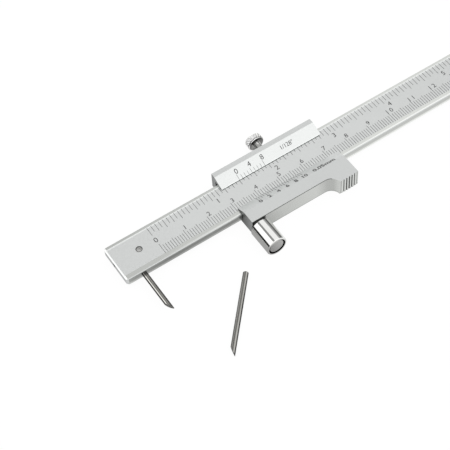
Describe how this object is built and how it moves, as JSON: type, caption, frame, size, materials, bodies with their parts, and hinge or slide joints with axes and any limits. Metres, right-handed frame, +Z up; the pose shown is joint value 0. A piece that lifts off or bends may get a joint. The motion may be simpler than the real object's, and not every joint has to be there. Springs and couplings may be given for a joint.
{
  "type": "marking caliper",
  "caption": "Vernier marking caliper: a steel beam with a clamped scriber at one end, a sliding vernier jaw with a guide roller, thumb grip and lock screw, and a loose spare scriber.",
  "frame": {"origin": "bottom centre of the whole part as pictured, on the table it lies on", "axes": "+X along the beam towards longer readings, +Y across the graduated face away from the scriber's point, +Z up out of the graduated face"},
  "size_m": [0.26, 0.0708, 0.008],
  "materials": {
    "satin_steel": "satin plated",
    "ground_steel": "finely ground",
    "plated_steel": "bright plated",
    "hardened_steel": "hardened, ground and left dull",
    "screw_steel": "plain turned"
  },
  "bodies": {
    "beam_frame": {"beam": "satin_steel", "clamp_ball": "ground_steel", "end_stop_screw": "screw_steel"},
    "clamped_scriber": {"scriber": "hardened_steel"},
    "scriber_clamp": {"scriber_clamp_screw": "screw_steel"},
    "slider": {"slider_body": "satin_steel", "gib_strip": "ground_steel", "gib_screw_left": "screw_steel", "gib_screw_right": "screw_steel", "roller_axle": "ground_steel", "roller_washer": "screw_steel"},
    "lock": {"lock_screw": "plated_steel"},
    "roller": {"guide_roller": "plated_steel"},
    "loose_scriber": {"spare_scriber": "hardened_steel"}
  },
  "joints": [
    {"name": "slider_slide", "type": "slide", "parent": "beam_frame", "child": "slider", "axis": [1, 0, 0], "range_m": [-0.038, 0.1618]},
    {"name": "lock_turn", "type": "hinge", "parent": "slider", "child": "lock", "pos_m": [-0.06, 0.02822, 0.0033], "axis": [0, 1, 0], "range_deg": [0, 720]},
    {"name": "roller_spin", "type": "hinge", "parent": "slider", "child": "roller", "pos_m": [-0.0799, 0.00202, 0.004], "axis": [0, 1, 0], "continuous": true},
    {"name": "scriber_set", "type": "slide", "parent": "beam_frame", "child": "clamped_scriber", "axis": [0, -1, 0], "range_m": [-0.0008, 0.0152]},
    {"name": "scriber_clamp_turn", "type": "hinge", "parent": "beam_frame", "child": "scriber_clamp", "pos_m": [-0.11975, 0.01727, 0.0048], "axis": [0, 0, 1], "range_deg": [0, 360]},
    {"name": "spare_lift", "type": "slide", "parent": "beam_frame", "child": "loose_scriber", "axis": [0, 0, 1], "range_m": [0, 0.05]}
  ]
}
